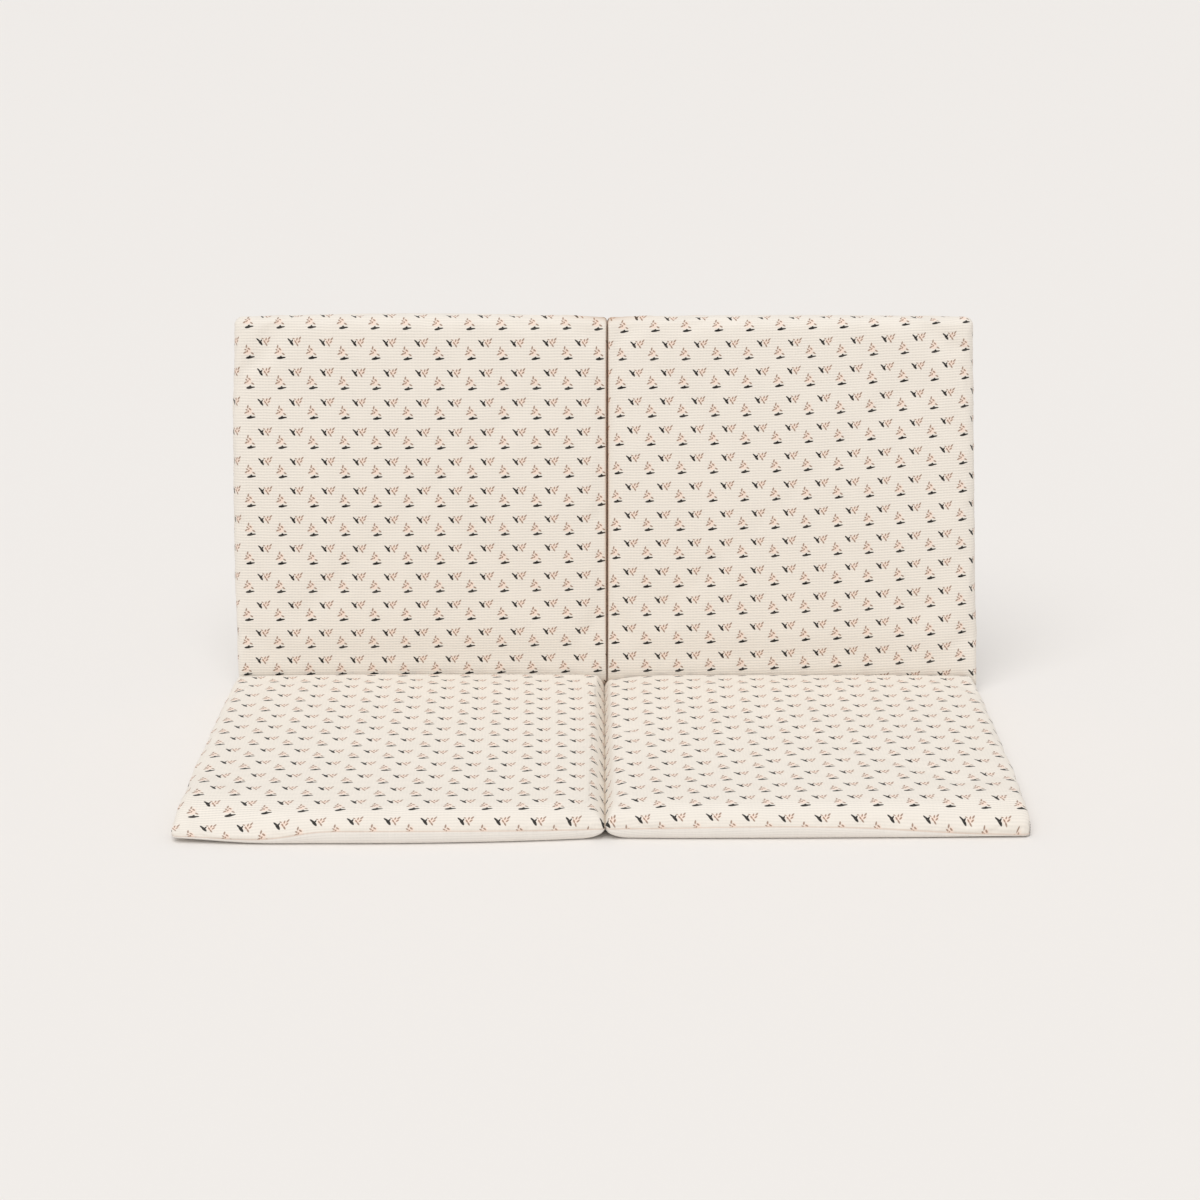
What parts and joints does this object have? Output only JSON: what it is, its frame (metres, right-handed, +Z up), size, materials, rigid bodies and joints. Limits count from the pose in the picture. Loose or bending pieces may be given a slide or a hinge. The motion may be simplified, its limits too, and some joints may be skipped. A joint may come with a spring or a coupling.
{
  "type": "folding play mat",
  "caption": "Soft padded play mat for a baby, square panels of foam in one sewn cloth cover, folded once so that half lies flat and half stands up.",
  "frame": {"origin": "on the floor, under the middle of the whole mat as it stands folded", "axes": "+X along the fold, to the right as seen from the front; +Y from the lying half to the standing half; +Z up"},
  "size_m": [1.0062, 0.613, 0.5057],
  "materials": {
    "printed_cloth": "cream waffle cotton with a small printed sprig",
    "plain_cloth": "plain cream cotton",
    "stitched_cloth": "plain cream cotton, sewn flat"
  },
  "bodies": {
    "root": {"pad_lower_left": "printed_cloth", "pad_lower_right": "printed_cloth", "pad_upper_left": "printed_cloth", "pad_upper_right": "printed_cloth", "stitch_lower": "stitched_cloth", "stitch_upper": "stitched_cloth", "stitch_fold": "stitched_cloth"}
  },
  "joints": []
}
